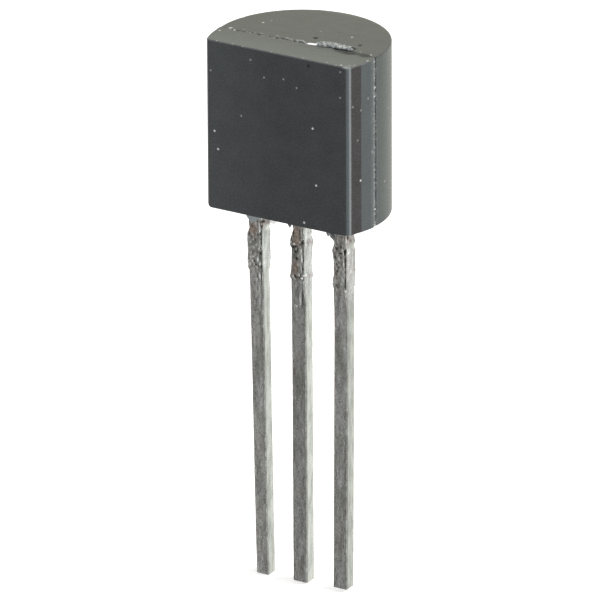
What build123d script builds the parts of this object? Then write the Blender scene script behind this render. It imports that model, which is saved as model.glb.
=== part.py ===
"""A small three-lead transistor in a moulded half-round package, 1.27 mm between leads.

Millimetres. X runs along the lead row, Y from the flat front to the round back, Z up.
The origin is the middle of the lead row, in the plane of the body's underside.

The leads are stamped from one strip, with a paddle for the chip on the middle one. The chip is
soldered to the paddle and wired to a post on each outer lead. The body is moulded round all of
this in two mould halves, which meet on the front face of the strip. The bar that joined the
leads while the body was moulded has been sheared away, and its stubs show on both sides of each
lead.
"""

import os
from math import sqrt

from build123d import *

# Leads outside the body
lead_pitch = 1.27
lead_width = 0.41
strip_thickness = 0.36
lead_edge_radius = 0.03
left_lead_length = 10.19
middle_lead_length = 10.16
right_lead_length = 10.09
left_lead_lean = 0.136
middle_lead_lean = 0.016
right_lead_lean = -0.064

# Stubs of the sheared bar: a horn at its top and bottom edge, hollow between the two
bar_top = 0.88
bar_height = 0.91
bar_horn = 0.045
bar_hollow = 0.03
bar_run_out = 0.10

# Strip inside the body
neck_height = 0.50
lock_width = 0.72
lock_height = 0.34
stem_width = 0.46
paddle_above_lock = 0.85
paddle_width = 1.50
paddle_height = 1.55
paddle_chamfer = 0.16
post_gap = 0.36
post_width = 0.56
post_height = 0.66
post_corner = 0.10

# Chip, its solder and its wires
chip_side = 0.46
chip_thickness = 0.20
solder_rim = 0.03
solder_thickness = 0.03
bond_offset = 0.11
ball_diameter = 0.09
ball_height = 0.02
wire_diameter = 0.03
wire_rise = 0.14
wire_bend_radius = 0.07
wire_descent = 0.22
stitch_length = 0.12
stitch_width = 0.07
stitch_height = 0.02

# Moulded body: the flat half widens in two steps up to the parting plane, where it is a little
# wider than the round half
body_height = 4.50
flat_distance = 1.135
flat_width = 4.19
shoulder_distance = 0.735
shoulder_width = 4.43
parting_width = 4.56
corner_radius = 0.13
round_radius = 2.265
round_centre = 0.03
witness_width = 0.11
witness_depth = 0.03

# Gate scar on top of the round half, where the runner was broken off
gate_from_middle = 0.94
gate_length = 1.22
gate_depth = 0.37
gate_height = 0.08
gate_slope = 35

# Ejector mark in the round back
ejector_diameter = 0.95
ejector_depth = 0.09

# Places that follow from the sizes above
front_of_strip = -strip_thickness / 2
lock_top = neck_height + lock_height
paddle_bottom = lock_top + paddle_above_lock
paddle_centre = paddle_bottom + paddle_height / 2
post_centre = paddle_width / 2 + post_gap + post_width / 2
post_bottom = paddle_centre - post_height / 2
bar_bottom = bar_top + bar_height
front_of_solder = front_of_strip - solder_thickness
front_of_chip = front_of_solder - chip_thickness
top_of_loop = front_of_chip - wire_rise
round_reach = sqrt(round_radius**2 - (front_of_strip - round_centre) ** 2)
back_of_body = round_centre + round_radius


def make_lead(name, hand, length, lean):
    """One lead. The hand is -1, 0 or 1 for left, middle or right; the lean is sideways, at the tip."""
    place = hand * lead_pitch

    def leaning(depth, off):
        return (place + lean * depth / length + off, -depth)

    with BuildPart() as lead:
        # Shank outside the body
        for depth in (0, length):
            with BuildSketch(Plane.XY.offset(-depth)):
                with Locations((leaning(depth, 0)[0], 0)):
                    RectangleRounded(lead_width, strip_thickness, lead_edge_radius)
        loft(ruled=True)
        # Stubs of the sheared bar
        with BuildSketch(Plane.XZ):
            with BuildLine():
                shank = lead_width / 2
                horn = shank + bar_horn
                hollow = shank + bar_horn - bar_hollow
                for side in (-1, 1):
                    above = leaning(bar_top - bar_run_out, side * shank)
                    upper = leaning(bar_top, side * horn)
                    between = leaning((bar_top + bar_bottom) / 2, side * hollow)
                    lower = leaning(bar_bottom, side * horn)
                    below = leaning(bar_bottom + bar_run_out, side * shank)
                    Line(above, upper)
                    ThreePointArc(upper, between, lower)
                    Line(lower, below)
                for depth in (bar_top - bar_run_out, bar_bottom + bar_run_out):
                    Line(leaning(depth, -shank), leaning(depth, shank))
            make_face()
        extrude(amount=strip_thickness / 2, both=True)
        # Neck into the body, then the wide stretch that locks the lead in the moulding
        with BuildSketch():
            with Locations((place, 0)):
                RectangleRounded(lead_width, strip_thickness, lead_edge_radius)
        extrude(amount=neck_height)
        with BuildSketch(Plane.XZ):
            with Locations((place, neck_height + lock_height / 2)):
                Rectangle(lock_width, lock_height)
            if hand == 0:
                with Locations((place, (lock_top + paddle_bottom) / 2)):
                    Rectangle(stem_width, paddle_above_lock)
                with Locations((place, paddle_centre)):
                    Rectangle(paddle_width, paddle_height)
            else:
                with Locations((place, (lock_top + post_bottom) / 2)):
                    Rectangle(stem_width, post_bottom - lock_top)
                with Locations((hand * post_centre, paddle_centre)):
                    Rectangle(post_width, post_height)
        extrude(amount=strip_thickness / 2, both=True)
        corners = lead.edges().filter_by(Axis.Y).group_by(Axis.Z)[-1]
        if hand == 0:
            chamfer(corners, paddle_chamfer)
        else:
            fillet(corners, post_corner)
    lead.part.label = name
    return lead


def make_wire(name, hand):
    """One bond wire: a ball on the chip, a loop outward, and a flat stitch on the post."""
    bond_x = hand * bond_offset
    bond_z = paddle_centre + hand * bond_offset
    post_x = hand * post_centre
    with BuildPart() as wire:
        with BuildSketch(Plane.XZ.offset(-front_of_chip)):
            with Locations((bond_x, bond_z)):
                Circle(ball_diameter / 2)
        extrude(amount=ball_height)
        with BuildLine() as route:
            FilletPolyline(
                (bond_x, front_of_chip - ball_height / 2, bond_z),
                (bond_x, top_of_loop, bond_z),
                (post_x - hand * wire_descent, front_of_chip, bond_z),
                (post_x, front_of_strip - stitch_height / 2, bond_z),
                radius=wire_bend_radius,
            )
        with BuildSketch(Plane(route.line @ 0, z_dir=route.line % 0)):
            Circle(wire_diameter / 2)
        sweep()
        with BuildSketch(Plane.XZ.offset(-front_of_strip)):
            with Locations((post_x, bond_z)):
                SlotOverall(stitch_length, stitch_width)
        extrude(amount=stitch_height)
        split(bisect_by=Plane.XZ.offset(-front_of_strip))
    wire.part.label = name
    return wire


left_lead = make_lead("left_lead", -1, left_lead_length, left_lead_lean)
middle_lead = make_lead("middle_lead", 0, middle_lead_length, middle_lead_lean)
right_lead = make_lead("right_lead", 1, right_lead_length, right_lead_lean)
left_wire = make_wire("left_bond_wire", -1)
right_wire = make_wire("right_bond_wire", 1)

# Solder under the chip, spread a little past its edges
with BuildPart() as chip_solder:
    with BuildSketch(Plane.XZ.offset(-front_of_strip)):
        with Locations((0, paddle_centre)):
            Rectangle(chip_side + 2 * solder_rim, chip_side + 2 * solder_rim)
    extrude(amount=solder_thickness)
    chamfer(chip_solder.faces().sort_by(Axis.Y)[0].edges(), solder_rim / 2)
    chip_solder.part.label = "chip_solder"

# Silicon chip
with BuildPart() as chip:
    with BuildSketch(Plane.XZ.offset(-front_of_solder)):
        with Locations((0, paddle_centre)):
            Rectangle(chip_side, chip_side)
    extrude(amount=chip_thickness)
    chip.part.label = "silicon_chip"

inserts = (left_lead, middle_lead, right_lead, chip_solder, chip, left_wire, right_wire)

with BuildPart() as body:
    # Flat half, sharp on top, rounded down its front corners and along the bottom of its left side
    with BuildSketch():
        with BuildLine():
            Polyline(
                (-parting_width / 2, front_of_strip),
                (-shoulder_width / 2, -shoulder_distance),
                (-flat_width / 2, -flat_distance),
                (flat_width / 2, -flat_distance),
                (shoulder_width / 2, -shoulder_distance),
                (parting_width / 2, front_of_strip),
                close=True,
            )
        make_face()
    extrude(amount=body_height)
    front_corners = body.edges().filter_by(Axis.Z).group_by(Axis.Y)[0]
    left_foot = body.faces().sort_by(Axis.Z)[0].edges().sort_by(Axis.Y)[1:-1].sort_by(Axis.X)[:2]
    fillet(front_corners + left_foot, corner_radius)
    # Round half
    with BuildSketch():
        with BuildLine():
            ThreePointArc((round_reach, front_of_strip), (0, back_of_body), (-round_reach, front_of_strip))
            Line((-round_reach, front_of_strip), (round_reach, front_of_strip))
        make_face()
    extrude(amount=body_height)
    # Witness groove of the mould, over the top and down the right side of the round half
    with BuildSketch(Plane.XZ.offset(-front_of_strip)):
        with BuildLine():
            Polyline(
                (-parting_width / 2, body_height),
                (-parting_width / 2, body_height - witness_depth),
                (round_reach - witness_depth, body_height - witness_depth),
                (round_reach - witness_depth, 0),
                (parting_width / 2, 0),
                (parting_width / 2, body_height),
                close=True,
            )
        make_face()
    extrude(amount=-witness_width, mode=Mode.SUBTRACT)
    # Gate scar
    with BuildSketch(Plane.XY.offset(body_height)):
        with Locations((gate_from_middle, front_of_strip + witness_width + gate_depth / 2)):
            Rectangle(gate_length, gate_depth)
    extrude(amount=gate_height, taper=gate_slope)
    # Ejector mark
    with BuildSketch(Plane.XZ.offset(ejector_depth - back_of_body)):
        with Locations((0, body_height / 2)):
            Circle(ejector_diameter / 2)
    extrude(amount=-ejector_depth, mode=Mode.SUBTRACT)
    # Room for everything that is moulded in
    for insert in inserts:
        add(insert.part, mode=Mode.SUBTRACT)
    body.part.label = "moulded_body"

os.makedirs("parts", exist_ok=True)
for piece in (body, *inserts):
    export_step(piece.part, f"parts/{piece.part.label}.step")
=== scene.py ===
"""A small three-lead transistor: a half-round moulded body on three tinned leads.

Sizes are in millimetres and become metres where a mesh or a light is made. X runs along the lead
row, Y from the flat front to the round back, Z up from the body's underside.
"""

from math import atan2, cos, exp, hypot, pi, radians, sin, sqrt, tan

import bmesh
import bpy
from mathutils import Matrix, Vector, noise


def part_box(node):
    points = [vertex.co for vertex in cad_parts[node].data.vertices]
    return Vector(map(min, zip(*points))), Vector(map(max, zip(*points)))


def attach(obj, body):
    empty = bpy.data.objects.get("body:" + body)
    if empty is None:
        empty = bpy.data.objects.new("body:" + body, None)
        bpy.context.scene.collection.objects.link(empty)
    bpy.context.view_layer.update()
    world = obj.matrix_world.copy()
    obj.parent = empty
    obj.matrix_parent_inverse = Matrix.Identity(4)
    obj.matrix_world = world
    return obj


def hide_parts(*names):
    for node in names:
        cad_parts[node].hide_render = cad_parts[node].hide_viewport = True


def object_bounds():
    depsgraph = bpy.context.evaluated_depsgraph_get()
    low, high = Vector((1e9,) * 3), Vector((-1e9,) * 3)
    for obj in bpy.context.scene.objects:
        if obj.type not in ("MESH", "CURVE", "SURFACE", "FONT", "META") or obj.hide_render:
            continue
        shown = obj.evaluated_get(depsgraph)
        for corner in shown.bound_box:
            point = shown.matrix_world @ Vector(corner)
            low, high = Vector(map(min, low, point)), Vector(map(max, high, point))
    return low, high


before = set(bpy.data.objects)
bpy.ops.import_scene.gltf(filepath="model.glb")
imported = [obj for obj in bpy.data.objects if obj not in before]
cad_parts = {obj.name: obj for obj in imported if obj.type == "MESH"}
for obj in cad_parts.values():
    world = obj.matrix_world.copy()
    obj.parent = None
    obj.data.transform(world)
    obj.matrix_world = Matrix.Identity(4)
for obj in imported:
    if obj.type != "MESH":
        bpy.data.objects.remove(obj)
cad_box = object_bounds()

MM = 0.001

# Sizes of the body, in millimetres

body_low, body_high = (Vector(corner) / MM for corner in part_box("moulded_body"))
half_width = body_high.x
front = body_low.y
back = body_high.y
scar_top = body_high.z
body_height = 4.50
flat_half_width = 2.095
shoulder = (2.215, -0.735)
corner_radius = 0.13
round_radius = 2.265
round_y = back - round_radius
parting = -0.20
groove_back = -0.09
groove_depth = 0.03
ejector_radius = 0.475
ejector_floor = back - 0.09
edge_wear = 0.02
worn_foot = 0.034
side_lean = atan2(shoulder[0] - flat_half_width, shoulder[1] - front)
corner_reach = corner_radius * tan((pi / 2 - side_lean) / 2)
corner_start = flat_half_width - corner_reach
bead = 0.07
round_steps = 72
round_reach = sqrt(round_radius**2 - (parting - round_y) ** 2)
groove_floor = round_reach - groove_depth
groove_edge = sqrt(round_radius**2 - (groove_back - round_y) ** 2)

# Sizes of the leads

lead_half_width = 0.205
lead_half_depth = 0.18
lead_lengths = {name: -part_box(name)[0].z / MM for name in ("left_lead", "middle_lead", "right_lead")}
lead_places = {"left_lead": -1.27, "middle_lead": 0.0, "right_lead": 1.27}
lead_leans = {"left_lead": 0.136, "middle_lead": 0.016, "right_lead": -0.064}


# Small helpers


def linear(code):
    """An sRGB hex colour as linear red, green, blue and alpha."""
    parts = [int(code[i : i + 2], 16) / 255 for i in (1, 3, 5)]
    return [p / 12.92 if p <= 0.04045 else ((p + 0.055) / 1.055) ** 2.4 for p in parts] + [1.0]


def add(tree, kind, ins=None, **settings):
    """Adds a shader node. Each input is a value to set, or the output or the node that feeds it."""
    node = tree.nodes.new("ShaderNode" + kind)
    for name, value in settings.items():
        setattr(node, name, value)
    for key, value in (ins or {}).items():
        if isinstance(value, bpy.types.Node):
            value = next(out for out in value.outputs if out.enabled)
        if isinstance(value, bpy.types.NodeSocket):
            tree.links.new(value, node.inputs[key])
        else:
            node.inputs[key].default_value = value
    return node


def per_mm(size):
    """A texture scale that repeats once in this many millimetres, on coordinates in metres."""
    return 1 / (size * MM)


def steps(start, stop, size):
    """Evenly spaced places from start to stop, about this far apart."""
    count = max(1, round(abs(stop - start) / size))
    return [start + (stop - start) * i / count for i in range(count + 1)]


def ripple(x, y, z, size, seed=0.0):
    """Smooth noise from -1 to 1, with features of about this size in millimetres."""
    return noise.noise(Vector((x / size + seed, y / size - seed, z / size + 2 * seed)))


def bump(distance, width):
    """A smooth hump: 1 at no distance, near 0 past twice the width."""
    return exp(-((distance / width) ** 2))


def clamp(value, low=0.0, high=1.0):
    return max(low, min(high, value))


def along(points, x):
    """The height of a line through points (x, y) at x."""
    for (x0, y0), (x1, y1) in zip(points, points[1:]):
        if x <= x1:
            return y0 + (y1 - y0) * max(0.0, (x - x0) / (x1 - x0))
    return points[-1][1]


def cut(bm, normal, places, base=(0, 0, 0), inside=None):
    """Divides the mesh by parallel planes, so that its faces are small enough to shape."""
    normal = Vector(normal).normalized()
    for place in places:
        faces = [f for f in bm.faces if inside is None or inside(f.calc_center_median())]
        geom = list({v for f in faces for v in f.verts}) + list({e for f in faces for e in f.edges}) + faces
        point = Vector(base) + normal * place
        bmesh.ops.bisect_plane(bm, geom=geom, dist=1e-5, plane_co=point, plane_no=normal)


def finish_piece(bm, name, node, finish, crease=None):
    """Turns a shaped mesh, in millimetres, into a piece that stands for a node of the frame."""
    for e in bm.edges:
        folded = e.is_manifold and e.calc_face_angle(0.0) > radians(40)
        e.smooth = not (folded or (crease is not None and crease(e)))
    bmesh.ops.scale(bm, vec=(MM, MM, MM), verts=bm.verts)
    mesh = bpy.data.meshes.new(name)
    for f in bm.faces:
        f.smooth = True
    bm.to_mesh(mesh)
    bm.free()
    piece = bpy.data.objects.new(name, mesh)
    bpy.context.scene.collection.objects.link(piece)
    piece.data.materials.append(finish)
    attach(piece, "root")
    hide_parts(node)
    return piece


# Materials

# A Mix node takes its two colours at these inputs. A MapRange node takes the range it comes from at
# 1 and 2, and the range it goes to at 3 and 4, and each is 0 to 1 where nothing is given.
MIX_A, MIX_B = 6, 7


def new_finish(name):
    """An empty material, its node tree, and the coordinates of the piece that wears it."""
    made = bpy.data.materials.new(name)
    made.use_nodes = True
    made.node_tree.nodes.clear()
    return made, made.node_tree, add(made.node_tree, "TexCoord").outputs["Object"]


# Places where something shows as a point in the compound's skin: bright and faint grains of filler, and pits
# painted dark with shade
TOP = body_height
bright_grains = (
    (2.207, -0.760, 1.419),
    (-1.858, front, 2.083),
    (-1.758, front, 1.614),
    (1.036, front, 2.700),
    (1.132, front, 1.198),
    (0.776, front, 0.132),
    (2.265, -0.147, 3.696),
    (2.265, -0.167, 3.474),
    (2.265, -0.136, 0.452),
    (-2.124, -0.437, TOP),
    (-1.990, -0.170, TOP),
    (-1.965, -0.125, TOP),
    (-1.832, -0.218, TOP),
    (-1.495, 0.626, TOP),
    (0.986, 0.844, TOP),
    (1.811, -1.030, TOP),
    (2.210, -0.423, TOP),
    (2.063, -0.013, TOP),
)
faint_grains = (
    (2.134, -1.006, 3.442),
    (0.186, front, 3.853),
    (-0.782, front, 4.184),
    (-0.386, front, 3.787),
    (-1.066, front, 2.636),
    (-1.962, front, 3.684),
    (0.569, front, 3.693),
    (1.841, front, 3.672),
    (1.847, front, 4.354),
    (2.179, -0.855, 2.508),
    (2.247, -0.459, 3.518),
    (2.266, -0.302, 2.053),
    (2.214, -0.742, 3.284),
    (2.265, -0.141, 4.045),
    (2.265, -0.158, 3.279),
    (2.265, -0.100, 1.153),
    (2.265, -0.115, 1.035),
    (2.265, -0.150, 0.668),
    (2.265, -0.155, 0.584),
    (2.265, -0.146, 0.323),
    (2.192, 0.600, 2.923),
    (2.244, 0.336, 1.056),
    (-1.393, 0.852, TOP),
    (0.086, 0.809, TOP),
    (1.728, 0.036, TOP),
    (-1.790, -1.110, TOP),
    (-1.320, -1.100, TOP),
    (-1.017, -1.115, TOP),
    (-0.187, -1.100, TOP),
    (0.743, -1.080, TOP),
    (1.397, -1.040, TOP),
    (1.696, -1.092, TOP),
    (2.009, -0.950, TOP),
    (2.097, -0.860, TOP),
)
pits = (
    (0.917, front, 4.339),
    (1.474, 0.429, TOP),
    (0.519, 0.977, TOP),
    (0.239, 0.328, TOP),
    (0.222, 0.300, TOP),
)


def spots(tree, place, points, radius, strength):
    """A mask that rises to a strength at each of these points, given in millimetres."""
    nearest = 1.0
    for point in points:
        centre = [c * MM for c in point]
        gap = add(tree, "VectorMath", {0: place, 1: centre}, operation="DISTANCE")
        nearest = add(tree, "Math", {0: gap, 1: nearest}, operation="MINIMUM")
    return add(tree, "MapRange", {0: nearest, 1: 1.35 * radius * MM, 2: 0.6 * radius * MM, 4: strength})


def moulding_compound(name):
    """Epoxy moulding compound, filled with silica and black pigment, cast in a spark-eroded mould.

    It is a dark grey with a soft sheen that turns pale at a glancing view. Its skin is faintly
    mottled and carries sparse pale grains of filler. Broken or rubbed places show paler, matt
    compound, and crumbs of it lie along the seam. Painted highlights and painted shade are mixed in.
    """
    made, tree, place = new_finish(name)
    skin, broken_and_highlight, fresh_break_and_glint = linear("#313334"), linear("#a9b2b2"), linear("#f4f6f4")
    dark_crumb_and_shade, grain = linear("#151616"), linear("#c3c7c3")
    tone = add(tree, "Attribute", attribute_name="tone").outputs["Fac"]
    ragged = add(tree, "Attribute", attribute_name="ragged").outputs["Fac"]
    mottle = add(tree, "TexNoise", {"Vector": place, "Scale": per_mm(0.5), "Detail": 5.0, "Roughness": 0.6})
    fine = add(tree, "TexNoise", {"Vector": place, "Scale": per_mm(0.06), "Detail": 3.0, "Roughness": 0.6})

    # Dark and pale crumbs where it is ragged
    crumb = add(tree, "TexVoronoi", {"Vector": place, "Scale": per_mm(0.055)})
    luck = add(tree, "SeparateColor", {0: crumb.outputs["Color"]})
    crumb_shape = add(tree, "MapRange", {0: crumb, 1: 0.60, 2: 0.40, 4: 0.85})
    crumb_mask = add(tree, "Math", {0: crumb_shape, 1: ragged}, operation="MULTIPLY")
    pale_luck = add(tree, "MapRange", {0: luck.outputs[0], 1: 0.68, 2: 0.74})
    dark_luck = add(tree, "MapRange", {0: luck.outputs[1], 1: 0.60, 2: 0.66})

    # Mottled skin, and over it what is rubbed or broken, with painted highlights and a painted glint, then
    # painted shade, crumbs, grains, and pits painted in shade
    shade = add(tree, "MapRange", {0: mottle, 1: 0.3, 2: 0.7, 3: 0.88, 4: 1.12})
    colour = add(tree, "VectorMath", {0: skin[:3], "Scale": shade}, operation="SCALE")
    painted_shade_mask = add(tree, "MapRange", {0: tone, 2: -1.0})
    layers = (
        (add(tree, "MapRange", {0: tone}), broken_and_highlight),
        (add(tree, "MapRange", {0: tone, 1: 1.0, 2: 2.0}), fresh_break_and_glint),
        (painted_shade_mask, dark_crumb_and_shade),
        (add(tree, "Math", {0: crumb_mask, 1: dark_luck}, operation="MULTIPLY"), dark_crumb_and_shade),
        (add(tree, "Math", {0: crumb_mask, 1: pale_luck}, operation="MULTIPLY"), grain),
        (spots(tree, place, faint_grains, 0.026, 0.32), grain),
        (spots(tree, place, bright_grains, 0.028, 0.9), grain),
        (spots(tree, place, pits, 0.04, 1.0), dark_crumb_and_shade),
    )
    for mask, tint in layers:
        colour = add(tree, "Mix", {0: mask, MIX_A: colour, MIX_B: tint}, data_type="RGBA")

    polish = add(tree, "MapRange", {0: fine, 1: 0.3, 2: 0.7, 3: 0.22, 4: 0.32})
    matt = add(tree, "MapRange", {0: painted_shade_mask, 4: 0.6})
    rough = add(tree, "Math", {0: polish, 1: matt}, operation="ADD")
    relief = add(tree, "Bump", {"Height": fine, "Strength": 0.06, "Distance": 0.02 * MM})
    wave = add(tree, "Bump", {"Height": mottle, "Strength": 0.08, "Distance": 0.1 * MM, "Normal": relief})
    surface = {"Base Color": colour, "Roughness": rough, "IOR": 1.55, "Normal": wave}
    add(tree, "OutputMaterial", {"Surface": add(tree, "BsdfPrincipled", surface)})
    return made


def tinned_copper(name):
    """Copper strip dipped in tin: a dull, grained coat with streaks along the lead, thin in places.

    The coat is rougher and shows brownish copper near the body, where the joining bar was sheared.
    """
    made, tree, place = new_finish(name)
    tin, dull, copper = linear("#e2dad5"), linear("#9f9a94"), linear("#cbb5a8")
    clean_tin_and_highlight, tarnish_and_shade = linear("#fdfbf6"), linear("#36332c")
    bare = add(tree, "Attribute", attribute_name="bare").outputs["Fac"]
    tone = add(tree, "Attribute", attribute_name="tone").outputs["Fac"]
    drawn_out = add(tree, "Mapping", {"Vector": place, "Scale": (1.0, 1.0, 0.22)})
    grain = add(tree, "TexNoise", {"Vector": place, "Scale": per_mm(0.07), "Detail": 4.0, "Roughness": 0.65})
    streak_ins = {"Vector": drawn_out, "Scale": per_mm(0.12), "Detail": 4.0, "Roughness": 0.6}
    streak = add(tree, "TexNoise", streak_ins)

    # Streaked tin, bare copper, clean tin where it was nicked and painted highlights, and tarnish and painted
    # shade
    dullness = add(tree, "MapRange", {0: streak, 1: 0.42, 2: 0.62, 4: 0.6})
    bright = add(tree, "MapRange", {0: tone})
    dark = add(tree, "MapRange", {0: tone, 2: -1.0})
    colour = tin
    for mask, tint in ((dullness, dull), (bare, copper), (bright, clean_tin_and_highlight), (dark, tarnish_and_shade)):
        colour = add(tree, "Mix", {0: mask, MIX_A: colour, MIX_B: tint}, data_type="RGBA")

    metal = add(tree, "MapRange", {0: tone, 1: 0.2, 2: 1.2, 3: 0.95, 4: 0.2})
    rough = add(tree, "MapRange", {0: grain, 1: 0.3, 2: 0.7, 3: 0.22, 4: 0.36})
    relief = add(tree, "Bump", {"Height": grain, "Strength": 0.35, "Distance": 0.02 * MM})
    drawn = add(tree, "Bump", {"Height": streak, "Strength": 0.3, "Distance": 0.02 * MM, "Normal": relief})
    surface = {"Base Color": colour, "Metallic": metal, "Roughness": rough, "Normal": drawn}
    add(tree, "OutputMaterial", {"Surface": add(tree, "BsdfPrincipled", surface)})
    return made


def simple_metal(name, colour, roughness, grain_size):
    """A metal or a polished chip inside the body, with a fine grain."""
    made, tree, place = new_finish(name)
    grain = add(tree, "TexNoise", {"Vector": place, "Scale": per_mm(grain_size), "Detail": 3.0})
    rough = add(tree, "MapRange", {0: grain, 3: roughness * 0.8, 4: roughness * 1.2})
    surface = {"Base Color": linear(colour), "Metallic": 1.0, "Roughness": rough}
    add(tree, "OutputMaterial", {"Surface": add(tree, "BsdfPrincipled", surface)})
    return made


compound = moulding_compound("epoxy_moulding_compound")
tinned = tinned_copper("tin_dipped_copper")
# A polished chip mirrors darkly, its solder has set dull and grained, and drawn gold wire shines warm
gold = simple_metal("drawn_gold_wire", "#e0b45a", 0.2, 0.01)
node_finishes = {
    "silicon_chip": simple_metal("polished_silicon", "#4a4b55", 0.15, 0.05),
    "chip_solder": simple_metal("dull_solder", "#9a9a98", 0.45, 0.03),
    "left_bond_wire": gold,
    "right_bond_wire": gold,
}
for node, finish in node_finishes.items():
    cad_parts[node].data.materials.clear()
    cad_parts[node].data.materials.append(finish)


# Body

# The seam of the two mould halves over the top, and the broken stub of the gate behind it
seam_path = [
    (-half_width, -0.20),
    (-2.10, -0.21),
    (-1.885, -0.24),
    (-1.71, -0.217),
    (-1.36, -0.172),
    (-1.12, -0.18),
    (-0.59, -0.172),
    (-0.44, -0.14),
    (0.15, -0.137),
    (0.40, -0.17),
    (1.0, -0.10),
    (1.52, -0.045),
    (1.78, -0.075),
    (half_width, -0.14),
]
# Dashes of painted shade along the seam as (x, strength), and crumbs as (x, how far behind the seam,
# brightness)
seam_dashes = (
    ((-1.885, 1.0), (-1.71, 0.5), (-1.54, 0.6), (-1.36, 0.5), (-1.12, 1.0), (-0.84, 0.5), (-0.59, 1.0))
    + ((-0.44, 0.7), (-0.32, 0.5), (-0.105, 0.8), (0.06, 0.6), (0.19, 0.7), (1.58, 0.7))
)
seam_crumbs = (
    ((-1.98, 0.08, 1.2), (-1.83, 0.02, 0.8), (-1.62, 0.13, 0.3), (-1.10, 0.08, 0.4), (-0.67, 0.14, 0.45))
    + ((-0.38, 0.08, 0.9), (-0.30, 0.07, 0.5), (-0.23, 0.06, 0.6), (-0.06, 0.08, 0.6))
)
ridge_path = [(-0.12, -0.09), (0.03, -0.01), (0.08, -0.02), (0.16, -0.09), (0.27, -0.15)]
stub_left, stub_right = 0.44, 1.52
stub_front = (
    [(stub_left, -0.06), (0.59, -0.145), (0.71, -0.123), (0.88, -0.05), (1.08, -0.04)]
    + [(1.31, 0.0), (1.50, -0.01)]
)
stub_back = (
    [(stub_left, 0.04), (0.60, 0.21), (0.84, 0.28), (1.06, 0.24), (1.25, 0.22)]
    + [(1.42, 0.25), (stub_right, 0.14)]
)
# The gap under the stub's front edge as (x, width), and the band of painted shade beside it as (x, y) and (x,
# darkness)
undercut = [(0.70, 0.0), (0.77, 0.05), (1.0, 0.06), (1.1, 0.11), (1.40, 0.11), (1.50, 0.07), (1.54, 0.0)]
shade_band_path = [(1.0, -0.16), (1.3, -0.19), (1.5, -0.21), (1.62, -0.17), (1.80, -0.12)]
shade_band_darkness = [(1.0, 0.0), (1.2, 0.5), (1.5, 0.8), (1.65, 0.8), (1.75, 0.4), (1.85, 0.0)]
# Pits as (x, y, size, darkness of their painted shade), and bits of flash in the groove down the side as (z,
# strength)
top_pits = ((0.235, 0.32, 0.05, 0.9), (1.474, 0.429, 0.04, 0.8), (1.473, 0.133, 0.045, 1.8))
seam_bits = (
    ((4.05, 0.6), (3.70, 1.0), (3.56, 0.5), (3.47, 0.9), (3.28, 0.5), (2.7, 0.6), (2.1, 0.6))
    + ((1.15, 0.6), (1.03, 0.5), (0.67, 0.6), (0.58, 0.5), (0.45, 1.0), (0.32, 0.6))
)
# Worn places of the rim at the right front corner, as (x, y, size, strength)
rim_wear = ((2.02, front + 0.02, 0.07, 1.0), (1.96, front, 0.05, 0.8))


def side_of_flat_half(y):
    """How far the flat half reaches to either side at this depth."""
    return along([(front, flat_half_width), (shoulder[1], shoulder[0]), (parting, half_width)], y)


def top_relief(x, y):
    """How far the top face rises at a place, how pale or dark it is there, and how crumbly."""
    behind = y - along(seam_path, x) - 0.010 * ripple(x, 0, 0, 0.12)
    rough = ripple(x, y, 0, 0.05, 3.0)
    # Painted shade in the seam's groove, in dashes
    in_seam = bump(behind, 0.032) * (x < 0.27 or x > 1.5) * clamp((1.80 - x) / 0.05)
    faint = 0.2 + 0.4 * max(0.0, ripple(x, 0, 0, 0.06, 5.0))
    dash = faint + max(strength * bump(x - at, 0.045) for at, strength in seam_dashes)
    rise = -0.018 * dash * in_seam
    tone = -0.55 * dash * in_seam
    ragged = 0.35 * bump(behind - 0.02, 0.05) * (x < 0.27)
    for at, off, bright in seam_crumbs:
        crumb = bump(hypot(x - at, (behind - off) * 0.8), 0.026)
        rise += 0.014 * bright * crumb
        tone += bright * crumb
    # The front half is a little paler towards its rim
    if behind < 0:
        tone += 0.02 + 0.07 * clamp(-behind / 0.9)
    # Thin ridge of flash that runs into the white facet
    ridge = bump(y - along(ridge_path, x), 0.020) * (-0.10 < x < 0.30)
    rise += 0.012 * ridge
    tone += 0.8 * ridge
    # Broken stub of the gate, ragged at its edges
    low, high = along(stub_front, x), along(stub_back, x) + 0.03 * ripple(x, 0, 0, 0.12, 7.0)
    if stub_left < x < stub_right and low <= y < high:
        sides = min(1.0, (high - y) / 0.06, (x - stub_left) / 0.04, (stub_right - x) / 0.03)
        height = 0.040 + 0.018 * rough + 0.012 * ripple(x, y, 0, 0.2, 1.0)
        lip = bump(y - low - 0.03, 0.03) * (ripple(x, 0, 0, 0.1, 8.0) > 0)
        rise = sides * min(1.0, (y - low) / 0.025) * height
        tone = sides * (0.38 + 0.30 * rough + 0.35 * lip)
        ragged = sides
    # Crisp facet at its left end, painted white as a glint
    if 0.28 < x < 0.54 and -0.185 < y - 0.18 * (x - 0.30) < -0.075:
        rise = 0.012
        tone = 2.0
        ragged = 0.0
    # Undercut in front of the stub, darkened with painted shade, and a band of painted shade that runs out of
    # it to the right, ending in a shallow darker dent
    gap = along(undercut, x) * (0.70 < x < 1.54)
    if 0.004 < gap and low - gap < y < low:
        cover = min(1.0, (low - y) / 0.012, (y - low + gap) / 0.02)
        rise = -0.03 * cover
        tone = -cover * (0.9 + 0.8 * clamp((x - 1.0) / 0.1))
    tone -= along(shade_band_darkness, x) * bump(y - along(shade_band_path, x), 0.075) * (1.0 < x < 1.85)
    scoop = exp(-(hypot((x - 1.965) / 0.185, (y + 0.135) / 0.125) ** 4))
    rise -= 0.004 * scoop
    tone -= 0.55 * scoop
    for at_x, at_y, size, dark in top_pits:
        hole = bump(hypot(x - at_x, y - at_y), size)
        rise -= 0.03 * hole
        tone -= dark * hole
    return rise, tone, ragged


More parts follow.
